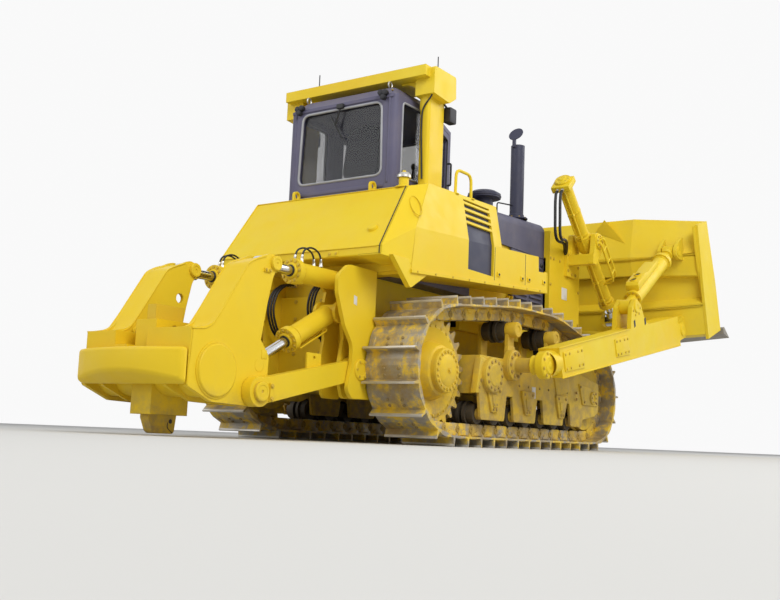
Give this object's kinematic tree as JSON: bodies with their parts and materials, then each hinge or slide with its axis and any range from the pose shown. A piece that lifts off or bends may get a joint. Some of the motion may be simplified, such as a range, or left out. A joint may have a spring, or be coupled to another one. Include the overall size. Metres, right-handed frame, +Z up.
{
  "type": "crawler bulldozer",
  "caption": "Crawler bulldozer with a semi-U blade raised high in front, cab with a roll bar, high exhaust stack and a single-shank rear ripper on a parallelogram linkage.",
  "frame": {"origin": "on the ground under the middle of the overall length and width", "axes": "+X forward, +Y to the machine's left, +Z up"},
  "size_m": [9.6404, 4.3, 4.1686],
  "materials": {
    "yellow_paint": "satin, faded and dusty",
    "grey_paint": "matt",
    "worn_steel": "worn, brown with soil",
    "dark_steel": "rough",
    "chrome": "polished",
    "rubber": "matt",
    "seat_fabric": "matt"
  },
  "bodies": {
    "push_frame": {"push_arm_left": "yellow_paint", "push_arm_right": "yellow_paint", "push_links": "yellow_paint"},
    "blade": {"blade": "yellow_paint", "blade_end_plates": "yellow_paint", "cutting_edge": "dark_steel"},
    "brace_barrels": {"brace_barrels": "yellow_paint"},
    "brace_rods": {"brace_rods": "yellow_paint"},
    "blade_lift_barrels": {"blade_lift_barrels": "yellow_paint"},
    "blade_lift_rods": {"blade_lift_rods": "chrome"},
    "ripper_arms": {"ripper_arms": "yellow_paint"},
    "ripper_pins": {"ripper_pins": "yellow_paint"},
    "ripper_beam": {"ripper_beam": "yellow_paint", "ripper_push_pad": "yellow_paint", "ripper_shank": "yellow_paint", "ripper_shank_pin": "yellow_paint"},
    "ripper_tilt_barrels": {"ripper_tilt_barrels": "yellow_paint", "ripper_tilt_hoses": "rubber"},
    "ripper_tilt_rods": {"ripper_tilt_rods": "chrome"},
    "ripper_lift_barrels": {"ripper_lift_barrels": "yellow_paint"},
    "ripper_lift_rods": {"ripper_lift_rods": "chrome"},
    "cab_door_left": {"cab_door_left": "grey_paint"},
    "cab_door_right": {"cab_door_right": "grey_paint"},
    "engine_door_left": {"engine_door_left": "yellow_paint"},
    "engine_door_right": {"engine_door_right": "yellow_paint"},
    "root": {"air_cleaner": "grey_paint", "cab_base": "grey_paint", "cab_seat": "seat_fabric", "cab_shell": "grey_paint", "carrier_rollers_left": "worn_steel", "carrier_rollers_right": "worn_steel", "engine_block": "dark_steel", "engine_side_frame": "yellow_paint", "exhaust_stack": "grey_paint", "final_drive_left": "yellow_paint", "final_drive_right": "yellow_paint", "fuel_cap": "chrome", "fuel_tank": "yellow_paint", "hood": "grey_paint", "idler_left": "worn_steel", "idler_right": "worn_steel", "lift_yokes": "yellow_paint", "main_frame": "yellow_paint", "radiator_core": "dark_steel", "radiator_grille": "dark_steel", "radiator_guard": "yellow_paint", "rear_hoses": "rubber", "ripper_bracket": "yellow_paint", "rops": "grey_paint", "side_box_left": "yellow_paint", "side_box_right": "yellow_paint", "side_vents": "dark_steel", "sprocket_left": "worn_steel", "sprocket_right": "worn_steel", "track_frame_left": "yellow_paint", "track_frame_right": "yellow_paint", "track_left": "worn_steel", "track_right": "worn_steel", "track_rollers_left": "worn_steel", "track_rollers_right": "worn_steel"}
  },
  "joints": [
    {"name": "blade_lift", "type": "hinge", "parent": "root", "child": "push_frame", "pos_m": [-0.5152, 0, 0.9], "axis": [0, -1, 0], "range_deg": [-26, 0]},
    {"name": "blade_pitch", "type": "hinge", "parent": "push_frame", "child": "blade", "pos_m": [3.56479, 0, 1.72208], "axis": [0, -1, 0], "range_deg": [-5, 5]},
    {"name": "brace_swing", "type": "hinge", "parent": "push_frame", "child": "brace_barrels", "pos_m": [1.83015, 0, 1.83237], "axis": [0, -1, 0], "range_deg": [-1.36, 1.36]},
    {"name": "brace_stroke", "type": "slide", "parent": "brace_barrels", "child": "brace_rods", "axis": [0.8445, 0, 0.5356], "range_m": [-0.09415, 0.09415]},
    {"name": "blade_lift_swing", "type": "hinge", "parent": "root", "child": "blade_lift_barrels", "pos_m": [2.2348, 0, 2.8], "axis": [0, -1, 0], "range_deg": [-25.43, 0.2]},
    {"name": "blade_lift_stroke", "type": "slide", "parent": "blade_lift_barrels", "child": "blade_lift_rods", "axis": [0.7216, 0, -0.6923], "range_m": [-0.005, 1.50858]},
    {"name": "ripper_lift", "type": "hinge", "parent": "root", "child": "ripper_arms", "pos_m": [-2.5152, 0, 0.7], "axis": [0, 1, 0], "range_deg": [-37, 25]},
    {"name": "ripper_level", "type": "hinge", "parent": "ripper_arms", "child": "ripper_pins", "pos_m": [-3.8652, 0, 0.408], "axis": [0, 1, 0], "range_deg": [-19.62, 28.94]},
    {"name": "ripper_tilt", "type": "hinge", "parent": "ripper_pins", "child": "ripper_beam", "pos_m": [-3.8652, 0, 0.408], "axis": [0, -1, 0], "range_deg": [0, 22]},
    {"name": "ripper_tilt_swing", "type": "hinge", "parent": "root", "child": "ripper_tilt_barrels", "pos_m": [-2.5752, 0, 1.574], "axis": [0, 1, 0], "range_deg": [-44.07, 29.84]},
    {"name": "ripper_tilt_stroke", "type": "slide", "parent": "ripper_tilt_barrels", "child": "ripper_tilt_rods", "axis": [-1, 0, -0.0084], "range_m": [-0.005, 0.45476]},
    {"name": "ripper_lift_swing", "type": "hinge", "parent": "root", "child": "ripper_lift_barrels", "pos_m": [-2.6452, 0, 1.251], "axis": [0, 1, 0], "range_deg": [-35.66, 24.16]},
    {"name": "ripper_lift_stroke", "type": "slide", "parent": "ripper_lift_barrels", "child": "ripper_lift_rods", "axis": [-0.8814, 0, -0.4724], "range_m": [-0.17813, 0.26122]},
    {"name": "cab_door_left", "type": "hinge", "parent": "root", "child": "cab_door_left", "pos_m": [-1.18564, 0.7232, 3.2], "axis": [0, 0, 1], "range_deg": [0, 75]},
    {"name": "cab_door_right", "type": "hinge", "parent": "root", "child": "cab_door_right", "pos_m": [-1.18564, -0.7232, 3.2], "axis": [0, 0, -1], "range_deg": [0, 75]},
    {"name": "engine_door_left", "type": "hinge", "parent": "root", "child": "engine_door_left", "pos_m": [0.6808, 0.712, 2.09], "axis": [0, 0, 1], "range_deg": [0, 80]},
    {"name": "engine_door_right", "type": "hinge", "parent": "root", "child": "engine_door_right", "pos_m": [0.6808, -0.712, 2.09], "axis": [0, 0, -1], "range_deg": [0, 80]}
  ],
  "couplings": [
    {"joint": "brace_swing", "follows": "blade_pitch", "ratio": 0.23256},
    {"joint": "brace_stroke", "follows": "blade_pitch", "m_per_rad": -1.0216},
    {"joint": "blade_lift_swing", "follows": "blade_lift", "ratio": 0.97055},
    {"joint": "blade_lift_stroke", "follows": "blade_lift", "m_per_rad": -3.3134},
    {"joint": "ripper_level", "follows": "ripper_lift", "ratio": -0.77669},
    {"joint": "ripper_tilt_swing", "follows": "ripper_lift", "ratio": 1.1855},
    {"joint": "ripper_tilt_stroke", "follows": "ripper_tilt", "m_per_rad": 1.1713},
    {"joint": "ripper_lift_swing", "follows": "ripper_lift", "ratio": 0.95836},
    {"joint": "ripper_lift_stroke", "follows": "ripper_lift", "m_per_rad": -0.39677}
  ]
}
